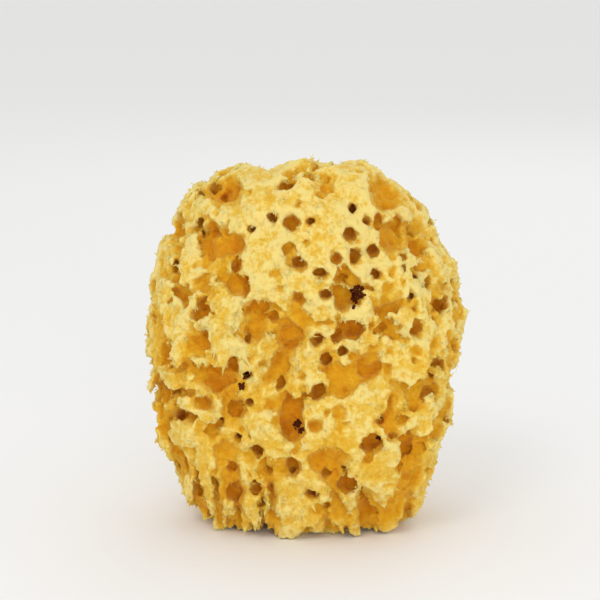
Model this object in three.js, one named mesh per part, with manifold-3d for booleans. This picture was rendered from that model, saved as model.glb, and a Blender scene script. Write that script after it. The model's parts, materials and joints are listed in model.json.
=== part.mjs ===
// A honeycomb bath sponge: one upright, lumpy block of sea sponge, full of canals, cut flat at its root.
// Millimetres, +Z up, front face towards -Y, origin in the middle of the flat cut.
import * as THREE from "three";
import { mergeVertices } from "three/addons/utils/BufferGeometryUtils.js";
import Module from "manifold-3d";

// Driving dimensions of the block.
const WIDTH = 94;
const DEPTH = 62;
const HEIGHT = 108;
const ROOT_CUT = 10; // how much of the rounded block is sliced off below
const SQUARENESS = 2.9; // 2 is an ellipsoid, higher is boxier
const BODY_DETAIL = 10; // icosphere subdivisions
const LUMP_HEIGHT = 1.5; // the outside swells and sinks by about this much
const LUMP_SPACING = 19;

// Lobes and dips of the outside: turn from the front towards the right, rise above the middle, degrees;
// height in mm, negative for a dip; spread in degrees.
const LOBES = [
  { turn: 4, rise: 42, height: 4, spread: 26 },
  { turn: -62, rise: 42, height: -5, spread: 22 },
  { turn: 66, rise: 46, height: -5, spread: 20 },
  { turn: -38, rise: 12, height: 3, spread: 20 },
  { turn: 34, rise: 10, height: -2, spread: 16 },
  { turn: -12, rise: 6, height: -2.5, spread: 15 },
  { turn: 42, rise: -22, height: 4, spread: 22 },
  { turn: -6, rise: -26, height: 3, spread: 20 },
  { turn: -46, rise: -38, height: -3.5, spread: 18 },
  { turn: -95, rise: 8, height: 4, spread: 24 },
  { turn: 96, rise: 14, height: 3.5, spread: 22 },
  { turn: 88, rise: -34, height: -4, spread: 20 },
  { turn: 150, rise: 30, height: 4.5, spread: 28 },
  { turn: -150, rise: 4, height: -4, spread: 24 },
  { turn: 172, rise: -24, height: 4, spread: 26 },
  { turn: -120, rise: 52, height: 4, spread: 22 },
  { turn: 30, rise: 74, height: 3, spread: 18 },
  { turn: -140, rise: 78, height: -3, spread: 16 },
];

// Openings of the front face: [across from the middle, up from the base, width, height, lean in degrees].
const DEEP_CANALS = [
  [-5.5, 101, 6.4, 2.8, 0],
  [12.5, 95, 2.4, 3, 0],
  [-15, 89.5, 2.4, 2.6, 0],
  [10.5, 77, 2, 3.4, 10],
  [19.5, 77, 3.2, 2.8, -30],
  [14, 72, 4, 5.4, 5],
  [22, 62, 2.2, 3.2, 0],
  [-15.5, 60, 2, 3.4, -5],
  [-5, 60, 2.2, 2.6, 0],
  [3, 59.5, 3.6, 3.2, 20],
  [8.5, 60, 4.6, 2.6, 35],
  [10, 56, 2.2, 3.2, -20],
  [5.5, 54, 3.4, 4.6, 0],
  [-7.5, 53.5, 2.4, 4.2, -15],
  [-19.5, 52.5, 2.8, 6, 10],
  [-16, 49.5, 2.4, 2.6, -20],
  [-7, 46.5, 2.8, 3.6, 10],
  [3.5, 45, 3.6, 6.2, -25],
  [-4, 41, 4.6, 4.2, 0],
  [-3.5, 34.5, 6, 7, 0],
  [20.5, 37, 3.2, 2.2, 35],
  [-19, 31, 2.6, 2.8, -25],
  [-14, 27.5, 4, 4.4, 0],
  [11, 22, 2, 3.2, 0],
  [-11, 21, 2, 4, 15],
];
const OPEN_CANALS = [
  [-9, 92.5, 2.8, 3.2, 0],
  [-4, 91.5, 4.6, 4.2, 15],
  [1.5, 92, 2.8, 2.8, 0],
  [17, 91.5, 2.4, 2.8, 0],
  [20.5, 91, 2.6, 6.4, 0],
  [-19.5, 85, 6, 6.4, 0],
  [18.5, 83.5, 3.2, 3.6, 0],
  [13.5, 82.5, 3, 5.6, -10],
  [-19, 79.5, 2.8, 6.4, -10],
  [4, 78, 4.6, 3, 0],
  [-17, 74, 2.6, 7.8, 0],
  [10, 71.5, 4, 10.5, 5],
  [5.5, 72, 4.6, 2.4, -30],
  [-13.5, 68.5, 2.8, 5.6, -20],
  [-9, 66, 4, 4.6, 0],
  [-15.5, 41, 2.6, 2.8, 0],
  [-20.5, 39, 2.8, 4.6, 0],
  [-23.5, 35, 2.2, 2.8, 0],
  [18.5, 31, 5.4, 4.2, 0],
  [-4, 22.5, 4, 6.4, 0],
  [5.5, 20.5, 4.2, 2.2, -30],
  [-20.5, 21, 3.2, 4.6, 0],
  [16, 15.5, 3.2, 2.6, 0],
  [1.5, 14.5, 4.2, 2.8, 0],
  [-14.5, 15.5, 2.8, 5.4, -10],
  [-12.5, 10.5, 2.6, 3.2, 0],
  [5.5, 10.5, 2.2, 3.6, 0],
];
const HOLLOWS = [
  [5, 99, 4.4, 3, 0],
  [-2.5, 96, 2.4, 2.4, 0],
  [12, 88, 2.8, 5, 5],
  [8, 83, 2.6, 4.6, 20],
  [-3.5, 82, 4.4, 8.6, 35],
  [-1.5, 71, 4.2, 2.6, -15],
  [12.5, 62.5, 4.2, 2.6, 0],
  [18, 63, 2.4, 2.6, 0],
  [13, 54.5, 3.2, 4.2, 0],
  [-1.5, 49.5, 2.2, 2.8, 0],
  [16, 49.5, 4.6, 4, 0],
  [9.5, 46, 3.6, 4.2, 0],
  [-0.5, 45.5, 2.2, 3.2, 0],
  [9, 39.5, 4, 4.6, 0],
  [-8, 36.5, 3.6, 3.2, 0],
  [2.5, 35, 3.6, 4, 0],
  [17, 25.5, 3.2, 2.8, 0],
];
const DEEP = 15;
const OPEN = 8;
const SHALLOW = 3.5;

// The other sides carry the same kind of openings, scattered evenly.
const SCATTERED_COUNT = 96;
const FRONT_HALF_WIDTH = 25; // the part of the front face that the lists above cover
const SCATTERED_WIDTH = [2.8, 6];
const SCATTERED_STRETCH = [0.9, 1.6]; // height over width
const SCATTERED_DEPTH = [4, 13];
const LOWEST_SCATTERED = 7;

// Canals that the flat cut opens, in a ring that leaves the middle whole.
const ROOT_CANALS = 9;
const ROOT_RING = [22, 13]; // half axes of the ring
const ROOT_CANAL_WIDTH = [2.8, 4.4];
const ROOT_CANAL_DEPTH = 9;

const CANAL_SIDES = 6;
const LIP = 2.5; // how far a cutting shape stands out of the surface
const FAR = 300;
const SEED = 11;

const UP = new THREE.Vector3(0, 0, 1);
const wasm = await Module();
wasm.setup();

// A repeatable stream of numbers from 0 to 1.
function numberStream(seed) {
  let state = seed;
  return () => {
    state = (Math.imul(state, 1664525) + 1013904223) >>> 0;
    return state / 2 ** 32;
  };
}
const nextNumber = numberStream(SEED);
const between = ([low, high]) => low + (high - low) * nextNumber();

function solidOf(geometry) {
  const bare = geometry.clone();
  bare.deleteAttribute("normal");
  bare.deleteAttribute("uv");
  const merged = mergeVertices(bare, 1e-4);
  const vertProperties = merged.getAttribute("position").array;
  const triVerts = new Uint32Array(merged.index.array);
  return new wasm.Manifold(new wasm.Mesh({ numProp: 3, vertProperties, triVerts }));
}

function geometryOf(solid) {
  const { vertProperties, triVerts } = solid.getMesh();
  const geometry = new THREE.BufferGeometry();
  geometry.setAttribute("position", new THREE.BufferAttribute(vertProperties, 3));
  geometry.setIndex(new THREE.BufferAttribute(triVerts, 1));
  geometry.computeVertexNormals();
  return geometry;
}

// Unit vector at a turn from the front (-Y) towards the right (+X) and a rise above the horizon.
function heading(turn, rise) {
  const t = THREE.MathUtils.degToRad(turn);
  const r = THREE.MathUtils.degToRad(rise);
  return new THREE.Vector3(Math.sin(t) * Math.cos(r), -Math.cos(t) * Math.cos(r), Math.sin(r));
}

// Evenly spread unit vectors, numbered from the top of a ball to its bottom.
function spiralDirection(index, count) {
  const z = 1 - (2 * index + 1) / count;
  const angle = index * Math.PI * (3 - Math.sqrt(5));
  const ring = Math.sqrt(1 - z * z);
  return new THREE.Vector3(ring * Math.cos(angle), ring * Math.sin(angle), z);
}

// Small swellings that wander over the outside, in mm.
function lumpAt({ x, y, z }) {
  const k = (2 * Math.PI) / LUMP_SPACING;
  const upright = Math.sin(k * x + 1.7 * Math.sin(0.6 * k * z));
  const level = Math.sin(0.9 * k * z + 1.3 * Math.sin(0.7 * k * y));
  const slanted = Math.sin(1.3 * k * y + 0.5 * k * x);
  return LUMP_HEIGHT * (upright * level + 0.6 * slanted);
}

// The outside of the block before anything is cut: a boxy ellipsoid with lobes, fitted to its three sizes.
function blockGeometry() {
  const lobes = LOBES.map((lobe) => ({
    towards: heading(lobe.turn, lobe.rise),
    height: lobe.height,
    spread: THREE.MathUtils.degToRad(lobe.spread),
  }));
  const half = new THREE.Vector3(WIDTH, DEPTH, HEIGHT + ROOT_CUT).multiplyScalar(0.5);
  const geometry = new THREE.IcosahedronGeometry(1, BODY_DETAIL);
  const position = geometry.getAttribute("position");
  const point = new THREE.Vector3();
  for (let i = 0; i < position.count; i++) {
    point.fromBufferAttribute(position, i).normalize();
    const sum = ["x", "y", "z"].reduce((s, k) => s + Math.abs(point[k] / half[k]) ** SQUARENESS, 0);
    let reach = sum ** (-1 / SQUARENESS);
    for (const lobe of lobes) {
      const away = point.angleTo(lobe.towards) / lobe.spread;
      reach += lobe.height * Math.exp(-away * away);
    }
    reach += lumpAt(point.clone().multiplyScalar(reach));
    point.multiplyScalar(reach);
    position.setXYZ(i, point.x, point.y, point.z);
  }
  geometry.computeBoundingBox();
  const size = geometry.boundingBox.getSize(new THREE.Vector3());
  const middle = geometry.boundingBox.getCenter(new THREE.Vector3());
  geometry.translate(-middle.x, -middle.y, -middle.z);
  geometry.scale((2 * half.x) / size.x, (2 * half.y) / size.y, (2 * half.z) / size.z);
  geometry.translate(0, 0, half.z - ROOT_CUT);
  return geometry;
}

// A blind canal, mouth at the origin and open towards +Y, rounded at its end.
function canalGeometry(width, height, depth) {
  const profile = [
    [0, -depth],
    [0.8, -0.75 * depth],
    [1.12, LIP],
    [0, LIP],
  ].map(([x, y]) => new THREE.Vector2(x, y));
  return new THREE.LatheGeometry(profile, CANAL_SIDES).scale(width / 2, 1, height / 2);
}

// The canal as a solid, with its mouth at a point and opening outwards, leaning about its own axis.
function canalSolid(point, outward, { width, height, depth, lean }) {
  const upright = Math.abs(outward.z) > 0.95 ? new THREE.Vector3(0, 1, 0) : UP;
  const rise = upright.clone().addScaledVector(outward, -upright.dot(outward)).normalize();
  const across = new THREE.Vector3().crossVectors(outward, rise);
  const turned = new THREE.Matrix4().makeBasis(across, outward, rise).setPosition(point);
  const geometry = canalGeometry(width, height, depth);
  geometry.rotateY(THREE.MathUtils.degToRad(lean));
  return solidOf(geometry.applyMatrix4(turned));
}

function frontCanals(block) {
  const straightIn = new THREE.Vector3(0, 1, 0);
  const kinds = [
    [DEEP_CANALS, DEEP],
    [OPEN_CANALS, OPEN],
    [HOLLOWS, SHALLOW],
  ];
  return kinds.flatMap(([list, depth]) =>
    list.map(([across, up, width, height, lean]) => {
      const ray = new THREE.Raycaster(new THREE.Vector3(across, -FAR, up), straightIn);
      const [hit] = ray.intersectObject(block);
      const outward = hit.face.normal.clone().sub(straightIn).normalize();
      return canalSolid(hit.point, outward, { width, height, depth, lean });
    }),
  );
}

function scatteredCanals(block) {
  const middle = new THREE.Vector3(0, 0, HEIGHT / 2);
  const solids = [];
  for (let i = 0; i < SCATTERED_COUNT; i++) {
    const direction = spiralDirection(i, SCATTERED_COUNT);
    const start = middle.clone().addScaledVector(direction, FAR);
    const [hit] = new THREE.Raycaster(start, direction.clone().negate()).intersectObject(block);
    const width = between(SCATTERED_WIDTH);
    const height = width * between(SCATTERED_STRETCH);
    const depth = between(SCATTERED_DEPTH);
    const lean = 360 * nextNumber();
    const onListedFront = hit.face.normal.y < -0.5 && Math.abs(hit.point.x) < FRONT_HALF_WIDTH;
    if (onListedFront || hit.point.z < LOWEST_SCATTERED) continue;
    solids.push(canalSolid(hit.point, hit.face.normal, { width, height, depth, lean }));
  }
  return solids;
}

function rootCanals() {
  const down = UP.clone().negate();
  return Array.from({ length: ROOT_CANALS }, (_, i) => {
    const angle = (2 * Math.PI * (i + 0.3 * nextNumber())) / ROOT_CANALS;
    const reach = 0.75 + 0.25 * nextNumber();
    const [halfWidth, halfDepth] = ROOT_RING;
    const point = new THREE.Vector3(
      reach * halfWidth * Math.cos(angle),
      reach * halfDepth * Math.sin(angle),
      0,
    );
    const width = between(ROOT_CANAL_WIDTH);
    return canalSolid(point, down, { width, height: width, depth: ROOT_CANAL_DEPTH, lean: 0 });
  });
}

function spongeGeometry() {
  const outside = blockGeometry();
  const block = new THREE.Mesh(outside, new THREE.MeshBasicMaterial());
  const aboveCut = new THREE.BoxGeometry(2 * WIDTH, 2 * DEPTH, 2 * HEIGHT).translate(0, 0, HEIGHT);
  let solid = solidOf(outside).intersect(solidOf(aboveCut));
  for (const canal of [...frontCanals(block), ...scatteredCanals(block), ...rootCanals()]) {
    solid = solid.subtract(canal);
  }
  // Canals that meet can leave a loose crumb, so only the sponge itself is kept.
  const [whole] = solid.decompose().sort((a, b) => b.volume() - a.volume());
  const geometry = geometryOf(whole);
  geometry.computeBoundingBox();
  const middle = geometry.boundingBox.getCenter(new THREE.Vector3());
  return geometry.translate(-middle.x, -middle.y, 0);
}

const spongin = new THREE.MeshStandardMaterial({ color: 0xe3b94f, roughness: 0.95, metalness: 0 });
const sponge = new THREE.Mesh(spongeGeometry(), spongin);
sponge.name = "sponge";

const seaSponge = new THREE.Group();
seaSponge.name = "sea_sponge";
seaSponge.add(sponge);

export default seaSponge;
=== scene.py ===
"""A honeycomb sea sponge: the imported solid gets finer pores, torn rims, loose fibres and honey colours."""
import functools
import json
import math

import bpy
import numpy as np
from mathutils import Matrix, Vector
from mathutils.bvhtree import BVHTree

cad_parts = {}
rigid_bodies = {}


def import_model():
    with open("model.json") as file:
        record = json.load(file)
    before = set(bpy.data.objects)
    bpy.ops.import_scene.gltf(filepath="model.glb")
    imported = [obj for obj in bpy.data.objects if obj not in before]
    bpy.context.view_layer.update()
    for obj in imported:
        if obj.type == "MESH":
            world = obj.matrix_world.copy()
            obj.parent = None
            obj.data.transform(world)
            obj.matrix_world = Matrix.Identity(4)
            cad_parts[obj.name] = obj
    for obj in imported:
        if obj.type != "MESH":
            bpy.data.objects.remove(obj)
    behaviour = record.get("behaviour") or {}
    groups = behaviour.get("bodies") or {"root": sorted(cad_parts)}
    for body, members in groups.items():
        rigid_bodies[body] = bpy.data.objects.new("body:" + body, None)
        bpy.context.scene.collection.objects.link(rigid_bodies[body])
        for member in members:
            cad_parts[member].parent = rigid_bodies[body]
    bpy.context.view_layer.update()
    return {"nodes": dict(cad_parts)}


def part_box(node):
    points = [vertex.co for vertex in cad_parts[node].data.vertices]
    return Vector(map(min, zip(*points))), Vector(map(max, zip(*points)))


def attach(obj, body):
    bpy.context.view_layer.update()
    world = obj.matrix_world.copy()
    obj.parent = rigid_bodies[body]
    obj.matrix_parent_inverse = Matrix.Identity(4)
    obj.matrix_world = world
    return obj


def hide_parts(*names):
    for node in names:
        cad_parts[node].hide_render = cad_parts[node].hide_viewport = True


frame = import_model()

MM = 0.001
SPONGE_NODE = "sponge"
SPONGE_LOW, SPONGE_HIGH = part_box(SPONGE_NODE)
SPONGE_MIDDLE = (SPONGE_LOW + SPONGE_HIGH) / 2

# Grain of the mesh at each stage
ROUGH_GRAIN = 0.6 * MM
PORE_GRAIN = 0.62 * MM
FINE_GRAIN = 0.5 * MM
MOST_TRIANGLES = 196_000

# The part of the front face whose openings come from the solid: no wide bubbles are added there
LISTED_HALF_WIDTH = 24 * MM
LISTED_BEHIND = -8 * MM

# Below this height the recesses are drawn out downwards into strands: the pattern is stretched to
# 1 / STRAND_SQUEEZE of its height
STRANDS_BELOW = 26 * MM
STRAND_SQUEEZE = 0.35

# The skin is torn away where a cloudy noise between 0 and 1 is above this, more on bare spots and
# less on whole ones
TORN_ABOVE = 0.48
BARE_SHIFT = 0.22
WHOLE_SHIFT = 0.3

# Spots on the front where the outer skin is torn away: across, up and reach, in mm
BARE_SPOTS = [
    (-22.5, 98, 5), (-23.5, 83, 5), (-18.5, 74, 2.8), (-13, 67, 3), (-15, 62, 3),
    (22.5, 98, 5), (24, 87, 4), (10.5, 75, 3.5), (-2, 71, 1.6), (12.7, 63, 3),
    (-4, 61, 4), (-4.4, 35.5, 3.5), (9.4, 48, 4.5), (16.4, 51, 3.5), (17.8, 30, 3),
    (-20, 40, 3), (-23, 47, 4), (-4.4, 22.5, 3), (-20, 14, 3), (12, 18, 2.5),
    (-4.5, 84, 2.4), (-2, 80.5, 2.4), (8.2, 82, 1.6), (10, 78.5, 1.8), (12, 88, 1.8),
]

# Spots on the front where the outer skin is whole apart from its listed openings
WHOLE_SPOTS = [
    (-11.4, 95, 7), (3, 88, 9), (14, 94, 7), (-12, 85, 6.5), (17, 79.5, 5), (-1, 75, 4),
    (-20, 60, 5), (13.6, 67, 3.5), (17.8, 44, 4.5), (-10.5, 33, 6), (19.7, 22.5, 6), (4, 37.5, 4),
    (1, 17, 5), (3, 70, 4), (-16, 80, 5), (14, 84, 5),
]

# Places on the front where dark grains sit in a canal, partly grit and partly painted shade of deep holes:
# across, up and reach, in mm
GRIT_AND_SHADE_SPOTS = [
    (14.2, 72, 1.9), (13.2, 69.6, 0.8), (-1.9, 34.2, 1.5), (-16.4, 49.6, 1.0), (-17.4, 46.4, 0.8),
    (20.2, 30.8, 0.6), (20.4, 37.2, 0.6),
]

RANDOM = np.random.default_rng(7)


class Wire:
    """A number that runs through nodes: sums and products of wires add Math nodes."""

    def __init__(self, sheet, socket):
        self.sheet = sheet
        self.socket = socket

    def _with(self, operation, first, second):
        return self.sheet.wire("ShaderNodeMath", 0, {"operation": operation}, _0=first, _1=second)

    def __add__(self, other):
        return self._with("ADD", self, other)

    __radd__ = __add__

    def __sub__(self, other):
        return self._with("SUBTRACT", self, other)

    def __rsub__(self, other):
        return self._with("SUBTRACT", other, self)

    def __mul__(self, other):
        return self._with("MULTIPLY", self, other)

    __rmul__ = __mul__

    def __abs__(self):
        return self._with("ABSOLUTE", self, 0.0)

    def at_least(self, other):
        return self._with("MAXIMUM", self, other)

    def at_most(self, other):
        return self._with("MINIMUM", self, other)

    def ramp(self, start, end):
        """0 up to start, 1 from end on, smooth between. Start may be the larger."""
        return self.sheet.wire("ShaderNodeMapRange", "Result", {"interpolation_type": "SMOOTHSTEP"},
                               Value=self, From_Min=start, From_Max=end)


class NodeSheet:
    """A sheet of nodes. node() makes any of them: its settings first, then its sockets' values or links.
    A socket is given by name, with _ for a space, or by number, as _0 or _1."""

    def __init__(self, tree):
        self.tree = tree

    def node(self, kind, settings=None, **inputs):
        made = self.tree.nodes.new(kind)
        for name, value in (settings or {}).items():
            if name == "stops":
                self._set_stops(made.color_ramp, value)
            else:
                setattr(made, name, value)
        for name, value in inputs.items():
            key = int(name[1:]) if name[1:].isdigit() else name.replace("_", " ")
            value = value.socket if isinstance(value, Wire) else value
            if isinstance(value, bpy.types.NodeSocket):
                self.tree.links.new(value, made.inputs[key])
            else:
                made.inputs[key].default_value = value
        return made

    def wire(self, kind, output, settings=None, **inputs):
        return Wire(self, self.node(kind, settings, **inputs).outputs[output])

    @staticmethod
    def _set_stops(ramp, stops):
        while len(ramp.elements) < len(stops):
            ramp.elements.new(1.0)
        for element, (place, colour) in zip(ramp.elements, stops):
            element.position = place
            element.color = colour


# Helpers for modelling


def select_only(piece):
    bpy.ops.object.select_all(action="DESELECT")
    piece.hide_set(False)
    piece.select_set(True)
    bpy.context.view_layer.objects.active = piece


def edit_all(piece):
    """Opens a piece in edit mode with everything selected."""
    select_only(piece)
    bpy.ops.object.mode_set(mode="EDIT")
    bpy.ops.mesh.select_all(action="SELECT")


def leave_edit():
    bpy.ops.object.mode_set(mode="OBJECT")


def apply_modifier(piece, kind, **settings):
    select_only(piece)
    modifier = piece.modifiers.new(kind.title(), kind)
    for name, value in settings.items():
        setattr(modifier, name, value)
    bpy.ops.object.modifier_apply(modifier=modifier.name)


def remesh(piece, grain):
    apply_modifier(piece, "REMESH", mode="VOXEL", voxel_size=grain, use_smooth_shade=True)


def cloud(name, size, colour=False, contrast=1.0):
    """A cloudy noise of a given grain for the Displace modifier."""
    texture = bpy.data.textures.new(name, "CLOUDS")
    texture.noise_scale = size
    texture.noise_depth = 2
    texture.cloud_type = "COLOR" if colour else "GRAYSCALE"
    texture.noise_basis = "ORIGINAL_PERLIN"
    texture.contrast = contrast
    return texture


def swell(piece, texture, height, along="NORMAL"):
    """Moves a piece's points by about half the height each way, as the texture says."""
    apply_modifier(piece, "DISPLACE", texture=texture, strength=height, mid_level=0.5,
                   direction=along, texture_coords="LOCAL")


def points_of(piece):
    flat = np.empty(3 * len(piece.data.vertices), np.float32)
    piece.data.vertices.foreach_get("co", flat)
    return flat.reshape(-1, 3)


def normals_of(piece):
    flat = np.empty(3 * len(piece.data.vertices), np.float32)
    piece.data.vertex_normals.foreach_get("vector", flat)
    return flat.reshape(-1, 3)


def store_attribute(piece, name, values):
    layer = piece.data.attributes.new(name, "FLOAT", "POINT")
    layer.data.foreach_set("value", np.asarray(values, np.float32))


def copy_of_solid(name):
    """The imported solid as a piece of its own, with its loose triangles joined up."""
    solid = frame["nodes"][SPONGE_NODE]
    piece = bpy.data.objects.new(name, solid.data.copy())
    bpy.context.scene.collection.objects.link(piece)
    edit_all(piece)
    bpy.ops.mesh.remove_doubles(threshold=0.001 * MM)
    leave_edit()
    return piece


# The sponge


def closed_outside():
    """The outside with every canal closed: swollen until the mouths meet, then drawn back in."""
    closing = 3.5 * MM
    coarse_grain = 1.2 * MM
    outside = copy_of_solid("closed_outside")
    remesh(outside, ROUGH_GRAIN)
    apply_modifier(outside, "DISPLACE", strength=closing, mid_level=0.0)
    remesh(outside, coarse_grain)
    apply_modifier(outside, "SMOOTH", factor=0.5, iterations=6)
    apply_modifier(outside, "DISPLACE", strength=-closing, mid_level=0.0)
    return outside


def canal_floors(outside):
    """A core inside the sponge at which its canals end."""
    floor_depth = 6.2 * MM
    floor_waves = 5 * MM
    core = outside.copy()
    core.data = outside.data.copy()
    core.name = "canal_floors"
    bpy.context.scene.collection.objects.link(core)
    apply_modifier(core, "DISPLACE", strength=-floor_depth, mid_level=0.0)
    swell(core, cloud("floors", floor_waves, contrast=2.0), floor_waves)
    return core


def pore_sheet(outside):
    """All that is hollowed out of the sponge: bubbles of two sizes, torn-off patches of skin and grooves."""
    tree = bpy.data.node_groups.new("pores", "GeometryNodeTree")
    tree.interface.new_socket("Geometry", in_out="OUTPUT", socket_type="NodeSocketGeometry")
    sheet = NodeSheet(tree)
    place = sheet.wire("GeometryNodeInputPosition", 0)
    skin = sheet.node("GeometryNodeObjectInfo", {"transform_space": "ORIGINAL"}, Object=outside)
    depth = sheet.wire("GeometryNodeProximity", "Distance", {"target_element": "FACES"},
                       _0=skin.outputs["Geometry"])
    parts = sheet.node("ShaderNodeSeparateXYZ", Vector=place)
    across, back, up = (Wire(sheet, socket) for socket in parts.outputs)
    front_fade = 6 * MM
    facing = back.ramp(LISTED_BEHIND + front_fade, LISTED_BEHIND)
    listed = facing * abs(across).ramp(LISTED_HALF_WIDTH + 2 * MM, LISTED_HALF_WIDTH)
    drawn_up = up.at_least(STRANDS_BELOW) + (up.at_most(STRANDS_BELOW) - STRANDS_BELOW) * STRAND_SQUEEZE
    drawn = sheet.wire("ShaderNodeCombineXYZ", 0, X=across, Y=back, Z=drawn_up)
    flat = sheet.wire("ShaderNodeCombineXYZ", 0, X=across, Y=0.0, Z=up)

    def noise_vector(size):
        noise = sheet.wire("ShaderNodeTexNoise", "Color", Vector=drawn, Scale=1 / size, Detail=1.0)
        return sheet.wire("ShaderNodeVectorMath", 0, {"operation": "SUBTRACT"}, _0=noise, _1=(0.5, 0.5, 0.5))

    def strayed(start, noise, stray):
        """A place moved about by a cloudy noise."""
        return sheet.wire("ShaderNodeVectorMath", 0, {"operation": "MULTIPLY_ADD"},
                          _0=noise, _1=(stray, stray, stray), _2=start)

    def bubbles(start, cell, radius, deepest, keep):
        """How far inside a bubble a place is, in metres: negative outside all of them."""
        cells = sheet.node("ShaderNodeTexVoronoi", {"feature": "F1"}, Vector=start, Scale=1 / cell)
        chance = sheet.wire("ShaderNodeSeparateXYZ", 0, Vector=cells.outputs["Color"])
        size = radius[0] + chance * (radius[1] - radius[0])
        size = size * depth.ramp(deepest, 0.6 * deepest) * keep
        return size - Wire(sheet, cells.outputs["Distance"]) * cell

    def torn_patches(start, size, share, floor, slope):
        """How far inside a torn-off patch of skin a place is, in metres: its edges slope to its floor."""
        noise = sheet.wire("ShaderNodeTexNoise", "Fac", Vector=start, Scale=1 / size,
                           Detail=2.0, Roughness=0.55)
        return ((noise - share) * (3 * size)).at_most(noise.ramp(share, share + slope) * floor - depth)

    def spots(rows):
        """1 in the middle of the listed spots, fading to 0 past their reach, on the front only."""
        covers = []
        for spot_across, spot_up, reach in rows:
            middle = (spot_across * MM, 0.0, spot_up * MM)
            far = sheet.wire("ShaderNodeVectorMath", "Value", {"operation": "DISTANCE"}, _0=flat, _1=middle)
            covers.append(far.ramp(1.5 * reach * MM, 0.5 * reach * MM))
        return functools.reduce(Wire.at_least, covers) * facing

    slow = noise_vector(9 * MM)
    quick = noise_vector(3.6 * MM)
    uneven = sheet.wire("ShaderNodeSeparateXYZ", 1, Vector=slow)
    bare, whole = spots(BARE_SPOTS), spots(WHOLE_SPOTS)
    share = TORN_ABOVE + whole * (1 - bare) * WHOLE_SHIFT - bare * BARE_SHIFT
    wide = bubbles(strayed(place, slow, 6 * MM), 6.5 * MM, (0.6 * MM, 3.6 * MM), 14 * MM, 1 - listed)
    fine = bubbles(strayed(drawn, quick, 3 * MM), 3.0 * MM, (-0.6 * MM, 1.3 * MM), 12 * MM, 1.0)
    patches = torn_patches(strayed(drawn, quick, 3.2 * MM), 8 * MM, share,
                           3.4 * MM + uneven * (4 * MM), 0.13)
    deeper = torn_patches(strayed(drawn, quick, 4 * MM), 10 * MM, share + 0.11,
                          6.0 * MM + uneven * (8 * MM), 0.06)
    hanging = sheet.wire("ShaderNodeCombineXYZ", 0, X=across * 2.6, Y=back, Z=up * 0.4)
    low_left = facing * up.ramp(27 * MM, 20 * MM) * across.ramp(-4 * MM, -12 * MM)
    grooves = torn_patches(strayed(hanging, quick, 2 * MM), 8 * MM, 0.8 - low_left * 0.32, 4.0 * MM, 0.05)
    inside = wide.at_least(fine).at_least(patches).at_least(deeper).at_least(grooves)
    margin = 4 * MM
    room = Vector((margin, margin, margin))
    low, high = SPONGE_LOW - room, SPONGE_HIGH + room
    steps = [math.ceil(length / PORE_GRAIN) for length in high - low]
    volume = sheet.wire("GeometryNodeVolumeCube", 0, Density=inside, Background=-1.0, Min=low, Max=high,
                        Resolution_X=steps[0], Resolution_Y=steps[1], Resolution_Z=steps[2])
    mesh = sheet.wire("GeometryNodeVolumeToMesh", 0, Volume=volume, Threshold=0.0)
    sheet.node("NodeGroupOutput", _0=mesh)
    return tree


def pores(outside):
    bpy.ops.mesh.primitive_cube_add(size=1 * MM, location=(0, 0, 0))
    piece = bpy.context.active_object
    piece.name = "pores"
    apply_modifier(piece, "NODES", node_group=pore_sheet(outside))
    return piece


def keep_outer_skin(piece):
    """Deletes closed bubbles and loose slivers: only what hangs together with the crown stays."""
    crown = int(points_of(piece)[:, 2].argmax())
    select_only(piece)
    bpy.ops.object.mode_set(mode="EDIT")
    bpy.ops.mesh.select_mode(type="VERT")
    bpy.ops.mesh.select_all(action="DESELECT")
    leave_edit()
    piece.data.vertices[crown].select = True
    bpy.ops.object.mode_set(mode="EDIT")
    bpy.ops.mesh.select_linked()
    bpy.ops.mesh.select_all(action="INVERT")
    bpy.ops.mesh.delete(type="VERT")
    leave_edit()


def flat_root_cut(piece):
    """Cuts the sponge off level, with a slab that ends at the height of the cut."""
    width, thickness = 200 * MM, 20 * MM
    middle = (0, 0, SPONGE_LOW.z - thickness / 2)
    bpy.ops.mesh.primitive_cube_add(size=1.0, location=middle, scale=(width, width, thickness))
    slab = bpy.context.active_object
    apply_modifier(piece, "BOOLEAN", operation="DIFFERENCE", solver="MANIFOLD", object=slab)
    bpy.data.objects.remove(slab)


def thin_to_limit(piece):
    """Thins the mesh to its limit, and lifts the points that this pushes below the cut."""
    triangles = sum(len(face.vertices) - 2 for face in piece.data.polygons)
    if triangles > MOST_TRIANGLES:
        apply_modifier(piece, "DECIMATE", ratio=MOST_TRIANGLES / triangles, use_collapse_triangulate=True)
    points = points_of(piece)
    points[:, 2] = np.maximum(points[:, 2], SPONGE_LOW.z)
    piece.data.vertices.foreach_set("co", points.ravel())
    piece.data.update()


def depth_below(piece, outside):
    """How deep each point lies below the closed outside, in mm."""
    tree = BVHTree.FromObject(outside, bpy.context.evaluated_depsgraph_get())
    depths = []
    for point in points_of(piece):
        at, normal, _, distance = tree.find_nearest(Vector(point))
        below = (at - Vector(point)).dot(normal) > 0
        depths.append(distance / MM if below else 0.0)
    return np.array(depths)


def edges_of(piece):
    flat = np.empty(2 * len(piece.data.edges), np.int32)
    piece.data.edges.foreach_get("vertices", flat)
    return flat.reshape(-1, 2)


def rim_of(piece, rounds=6):
    """How far each point stands out from its surroundings, in mm: positive on rims, negative in corners."""
    points = points_of(piece).astype(float)
    first, second = edges_of(piece).T
    neighbours = np.bincount(first, minlength=len(points)) + np.bincount(second, minlength=len(points))
    smooth = points.copy()
    for _ in range(rounds):
        total = np.zeros_like(smooth)
        for axis in range(3):
            total[:, axis] = (np.bincount(first, smooth[second, axis], len(points))
                              + np.bincount(second, smooth[first, axis], len(points)))
        smooth = total / neighbours[:, None]
    return ((points - smooth) * normals_of(piece)).sum(axis=1) / MM


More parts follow.
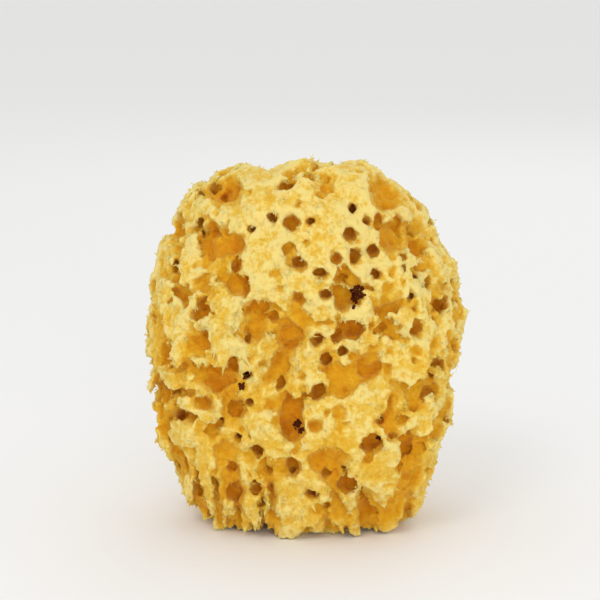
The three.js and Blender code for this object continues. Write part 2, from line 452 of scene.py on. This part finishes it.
def sponge_piece():
    outside = closed_outside()
    sponge = copy_of_solid("sea_sponge")
    remesh(sponge, ROUGH_GRAIN)
    apply_modifier(sponge, "SMOOTH", factor=0.5, iterations=2)
    swell(sponge, cloud("wander", 4 * MM, colour=True), 2.6 * MM, along="RGB_TO_XYZ")
    apply_modifier(sponge, "DISPLACE", strength=-0.4 * MM, mid_level=0.0)
    remesh(sponge, ROUGH_GRAIN)
    hollow = pores(outside)
    apply_modifier(sponge, "BOOLEAN", operation="DIFFERENCE", solver="MANIFOLD", object=hollow)
    core = canal_floors(outside)
    select_only(sponge)
    core.select_set(True)
    bpy.ops.object.join()
    remesh(sponge, FINE_GRAIN)
    swell(sponge, cloud("ragged", 1.8 * MM, colour=True), 1.6 * MM, along="RGB_TO_XYZ")
    swell(sponge, cloud("torn", 1.0 * MM, contrast=1.4), 0.8 * MM)
    keep_outer_skin(sponge)
    flat_root_cut(sponge)
    thin_to_limit(sponge)
    keep_outer_skin(sponge)
    store_attribute(sponge, "depth", depth_below(sponge, outside))
    store_attribute(sponge, "rim", rim_of(sponge))
    bpy.data.objects.remove(hollow)
    bpy.data.objects.remove(outside)
    select_only(sponge)
    bpy.ops.object.shade_smooth()
    return sponge


# Loose fibres, and grit that is partly painted shade


def attribute_of(piece, name):
    values = np.empty(len(piece.data.vertices), np.float32)
    piece.data.attributes[name].data.foreach_get("value", values)
    return values


def unit(vectors):
    return vectors / np.linalg.norm(vectors, axis=1, keepdims=True)


def strand_piece(name, roots, headings, curls, lengths, widths, flatness, depths):
    """Many closed, tapering, three-sided strands as one piece: each runs from its root along its
    heading and curl, and none goes below the cut."""
    stations = (0.0, 0.4, 0.75)
    count = len(roots)
    side = unit(np.cross(headings, curls + 1e-4))
    other = np.cross(side, headings)
    corners = []
    for station in stations:
        middle = roots + headings * (lengths * station)[:, None] + curls * (lengths * station ** 2)[:, None]
        reach = widths * (1 - 0.75 * station)
        for turn in (0.0, 2 * math.pi / 3, 4 * math.pi / 3):
            corners.append(middle + side * (reach * math.cos(turn))[:, None]
                           + other * (reach * flatness * math.sin(turn))[:, None])
    corners.append(roots + headings * lengths[:, None] + curls * lengths[:, None])
    points = np.stack(corners, axis=1).reshape(-1, 3)
    points[:, 2] = np.maximum(points[:, 2], SPONGE_LOW.z)
    # Corners 0 to 2 are at the root, 3 to 5 and 6 to 8 at the later stations, and 9 is the tip
    faces = [(0, 1, 2)]
    for first, second in ((0, 1), (1, 2), (2, 0)):
        faces.append((second, first, first + 3, second + 3))
        faces.append((second + 3, first + 3, first + 6, second + 6))
        faces.append((second + 6, first + 6, 9))
    each = len(corners)
    all_faces = [tuple(start + corner for corner in face)
                 for start in range(0, count * each, each) for face in faces]
    mesh = bpy.data.meshes.new(name)
    mesh.from_pydata(points.tolist(), [], all_faces)
    piece = bpy.data.objects.new(name, mesh)
    bpy.context.scene.collection.objects.link(piece)
    store_attribute(piece, "depth", np.repeat(depths, each))
    # Strands count as a little raised, so they are painted slightly paler, a painted highlight
    store_attribute(piece, "rim", np.full(count * each, 0.4))
    return piece


def spread_headings(normals, sideways, downwards):
    """Headings that lean away from the surface's normals at random, and a little downwards."""
    headings = normals + sideways * RANDOM.normal(size=normals.shape)
    headings[:, 2] -= downwards
    return unit(headings)


def rim_tufts(sponge):
    """Ragged tufts of short fibres along the torn rims."""
    tufts, fibres = 1150, 9
    count = tufts * fibres
    points, normals = points_of(sponge), normals_of(sponge)
    depth, rim = attribute_of(sponge, "depth"), attribute_of(sponge, "rim")
    # Rims that stand out, near the outside and clear of the cut
    likely = np.clip(rim - 0.15, 0, 0.6) * np.clip(1 - depth / 5, 0, 1) * (points[:, 2] > 3 * MM)
    chosen = RANDOM.choice(len(points), tufts, replace=False, p=likely / likely.sum())
    leaning = np.repeat(spread_headings(0.5 * normals[chosen], 0.6, 0.45), fibres, axis=0)
    headings = unit(leaning + 0.3 * RANDOM.normal(size=(count, 3)))
    chosen = np.repeat(chosen, fibres)
    lengths = np.repeat(RANDOM.uniform(0.5, 1.1, tufts), fibres) * RANDOM.uniform(0.5, 1.0, count) * MM
    curls = 0.5 * RANDOM.normal(size=(count, 3))
    widths = RANDOM.uniform(0.18, 0.42, count) * MM
    roots = points[chosen] - normals[chosen] * 0.3 * MM + RANDOM.normal(size=(count, 3)) * 0.28 * MM
    return strand_piece("rim_tufts", roots, headings, curls, lengths, widths, 0.7, depth[chosen])


def torn_shreds(sponge):
    """Flat curled scraps of skin, most of them on the front's left side and hanging along its foot."""
    count = 450
    points, normals = points_of(sponge), normals_of(sponge)
    depth, rim = attribute_of(sponge, "depth"), attribute_of(sponge, "rim")
    across, back, up = (points / MM).T
    torn_side = (back < 0) * np.exp(-((across + 21) / 6) ** 2 - ((up - 65) / 11) ** 2)
    torn_foot = (back < 5) * np.exp(-((across + 12) / 16) ** 2 - ((up - 13) / 7) ** 2)
    # Rims that stand out, near the outside and clear of the cut
    likely = np.clip(rim - 0.1, 0, 0.6) * np.clip(1 - depth / 6, 0, 1) * (up > 5)
    likely = likely * (0.02 + 5 * torn_side + 2 * torn_foot)
    chosen = RANDOM.choice(len(points), count, replace=False, p=likely / likely.sum())
    headings = spread_headings(0.3 * normals[chosen], 0.45, 0.9)
    lengths = RANDOM.uniform(0.9, 2.2, count) * MM
    curls = 0.5 * RANDOM.normal(size=(count, 3)) - 0.3 * normals[chosen]
    widths = RANDOM.uniform(0.4, 0.9, count) * MM
    roots = points[chosen] - normals[chosen] * 0.5 * MM
    return strand_piece("torn_shreds", roots, headings, curls, lengths, widths, 0.35, depth[chosen])


def grit_and_shade_piece(sponge):
    """Dark grains caught in a few of the front canals, partly grit and partly painted shade of deep holes,
    set on the first skin behind their spot.
    """
    grains_per_mm = 24
    in_front = -0.1
    tree = BVHTree.FromObject(sponge, bpy.context.evaluated_depsgraph_get())
    grains = []
    for across, up, reach in GRIT_AND_SHADE_SPOTS:
        for _ in range(round(grains_per_mm * reach)):
            angle = RANDOM.uniform(0, 2 * math.pi)
            out = reach * math.sqrt(RANDOM.uniform(0, 1))
            start_across = (across + out * math.cos(angle)) * MM
            start_up = (up + out * math.sin(angle)) * MM
            start = Vector((start_across, in_front, start_up))
            found, _, _, _ = tree.ray_cast(start, Vector((0, 1, 0)))
            radius = RANDOM.uniform(0.25, 0.4 + 0.15 * reach) * MM
            bpy.ops.mesh.primitive_ico_sphere_add(subdivisions=2, radius=radius, location=found,
                                                  rotation=RANDOM.uniform(0, 3, 3))
            grains.append(bpy.context.active_object)
    bpy.ops.object.select_all(action="DESELECT")
    for grain in grains:
        grain.select_set(True)
    bpy.context.view_layer.objects.active = grains[0]
    bpy.ops.object.join()
    grit_and_painted_shade = bpy.context.active_object
    grit_and_painted_shade.name = "canal_grit"
    bpy.ops.object.transform_apply(location=True, rotation=True, scale=True)
    swell(grit_and_painted_shade, cloud("grains", 0.6 * MM, contrast=2.0), 0.6 * MM)
    bpy.ops.object.shade_smooth()
    return grit_and_painted_shade


# Materials


def new_material(name):
    material = bpy.data.materials.new(name)
    material.use_nodes = True
    material.node_tree.nodes.clear()
    return material, NodeSheet(material.node_tree)


def screen_colour(red, green, blue):
    """A colour picked on screen, 0 to 255, as Blender's linear values."""
    def linear(c):
        c /= 255
        return c / 12.92 if c <= 0.04045 else ((c + 0.055) / 1.055) ** 2.4
    return linear(red), linear(green), linear(blue), 1.0


# Stops of the colour by depth: the deeper ones are partly the sponge's own amber and partly painted shade in
# the canals
CREAM = screen_colour(243, 219, 132)
HONEY = screen_colour(236, 195, 74)
GOLD = screen_colour(228, 170, 26)
AMBER = screen_colour(222, 150, 8)
BROWN = screen_colour(212, 130, 5)
DARK = screen_colour(190, 104, 4)
# Dark brown of the grains: partly grit, partly painted shade of deep holes
GRIT_AND_SHADE = screen_colour(84, 36, 16)
DEEPEST_MM = 16.0


def spongin():
    """Dry sponge skeleton: cream where it is shorn, honey and amber down the canals, partly its own tone and
    partly painted shade that grows with depth, with a felted grain.
    """
    material, sheet = new_material("spongin")
    place = sheet.node("ShaderNodeTexCoord").outputs["Object"]
    # Depth below the closed outside, which darkens the colour: partly the sponge's own tone, partly painted
    # shade
    depth = sheet.wire("ShaderNodeAttribute", "Fac", {"attribute_name": "depth"})
    # How far a place stands out: rims are painted paler, a painted highlight, and corners darker, painted
    # shade
    rim = sheet.wire("ShaderNodeAttribute", "Fac", {"attribute_name": "rim"})
    stain = sheet.wire("ShaderNodeTexNoise", "Fac", Vector=place, Scale=110.0, Detail=2.0)
    mottle = sheet.wire("ShaderNodeTexNoise", "Fac", Vector=place, Scale=420.0, Detail=3.0)
    crumb = sheet.wire("ShaderNodeTexNoise", "Fac", Vector=place, Scale=1300.0, Detail=2.0)
    cells = sheet.node("ShaderNodeTexVoronoi", {"feature": "F1"}, Vector=place, Scale=480.0)
    chance = sheet.wire("ShaderNodeSeparateXYZ", 0, Vector=cells.outputs["Color"])
    freckle = Wire(sheet, cells.outputs["Distance"]).ramp(0.2, 0.06) * chance.ramp(0.5, 0.7)
    uneven = (stain - 0.5) * 4.0 + (mottle - 0.5) * 2.6 + (crumb - 0.5) * 3.0 + freckle * 1.3
    uneven = uneven * (1 + depth.at_most(8.0) * 0.13)
    up = sheet.wire("ShaderNodeSeparateXYZ", "Z", Vector=place)
    # Deeper places are darker, partly the sponge's own tone and partly painted shade down the canals; rims
    # are paler, a painted highlight, and corners darker, painted shade; the upper half is paler
    shown = (depth + 0.9 + uneven - rim * 1.2 - up.ramp(30 * MM, 80 * MM) * 0.8) * (1 / DEEPEST_MM)
    stops = [(0.0, CREAM), (0.08, HONEY), (0.2, GOLD), (0.4, AMBER), (0.68, BROWN), (1.0, DARK)]
    colour = sheet.node("ShaderNodeValToRGB", {"stops": stops}, Fac=shown).outputs["Color"]
    felt = sheet.wire("ShaderNodeTexNoise", "Fac", Vector=place, Scale=1500.0, Detail=4.0, Roughness=0.7)
    relief = felt + mottle * 1.5
    bump = sheet.node("ShaderNodeBump", Height=relief, Strength=0.7, Distance=0.6 * MM)
    surface = sheet.node("ShaderNodeBsdfPrincipled", Base_Color=colour, Roughness=0.92,
                         Normal=bump.outputs[0], Subsurface_Weight=0.4,
                         Subsurface_Radius=(1.0, 0.55, 0.12), Subsurface_Scale=1.5 * MM,
                         Specular_IOR_Level=0.2, Sheen_Weight=0.1)
    sheet.node("ShaderNodeOutputMaterial", Surface=surface.outputs[0])
    return material


# The grains' material: partly grit, partly painted shade of deep holes
def grit_and_painted_shade():
    material, sheet = new_material("grit_and_painted_shade")
    surface = sheet.node("ShaderNodeBsdfPrincipled", Base_Color=GRIT_AND_SHADE, Roughness=0.95,
                         Specular_IOR_Level=0.1)
    sheet.node("ShaderNodeOutputMaterial", Surface=surface.outputs[0])
    return material


# Stage, light and camera


def pale_floor():
    bpy.ops.mesh.primitive_plane_add(size=16.0, location=(0, 0, SPONGE_LOW.z))
    floor = bpy.context.active_object
    floor.name = "pale_floor"
    material, sheet = new_material("pale_floor")
    surface = sheet.node("ShaderNodeBsdfPrincipled", Base_Color=(0.93, 0.93, 0.92, 1.0), Roughness=0.9)
    sheet.node("ShaderNodeOutputMaterial", Surface=surface.outputs[0])
    floor.data.materials.append(material)


def area_light(name, place, size, power):
    bpy.ops.object.light_add(type="AREA", location=place)
    light = bpy.context.active_object
    light.name = name
    light.data.size = size
    light.data.energy = power
    light.rotation_euler = (SPONGE_MIDDLE - Vector(place)).to_track_quat("-Z", "Y").to_euler()


def studio_light():
    world = bpy.data.worlds.new("studio")
    world.use_nodes = True
    world.node_tree.nodes["Background"].inputs["Color"].default_value = (1.0, 1.0, 1.0, 1.0)
    world.node_tree.nodes["Background"].inputs["Strength"].default_value = 0.82
    bpy.context.scene.world = world
    area_light("key", (-0.3, -0.6, 0.75), 0.35, 1.3)
    area_light("fill", (0.15, -0.75, 0.2), 0.3, 1.1)
    area_light("back", (0.2, 0.7, 0.6), 0.5, 0.5)
    bpy.context.scene.view_settings.view_transform = "Standard"


def photograph_camera():
    """In front of the broad face and a little above it, with the sponge where the photograph has it."""
    elevation = math.radians(12)
    distance = 0.545
    aim = Vector((-0.0016, 0, 0.0648))
    bpy.ops.object.camera_add()
    camera = bpy.context.active_object
    camera.name = "photograph_camera"
    camera.location = aim + distance * Vector((0, -math.cos(elevation), math.sin(elevation)))
    camera.rotation_euler = (aim - camera.location).to_track_quat("-Z", "Y").to_euler()
    camera.data.sensor_width = 36.0
    camera.data.lens = 114.2
    camera.data.clip_start = 0.01
    bpy.context.scene.camera = camera


photograph_camera()
skin_material = spongin()
sponge = sponge_piece()
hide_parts(SPONGE_NODE)
for piece, material in ((sponge, skin_material), (rim_tufts(sponge), skin_material),
                        (torn_shreds(sponge), skin_material), (grit_and_shade_piece(sponge), grit_and_painted_shade())):
    piece.data.materials.clear()
    piece.data.materials.append(material)
    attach(piece, "root")
pale_floor()
studio_light()
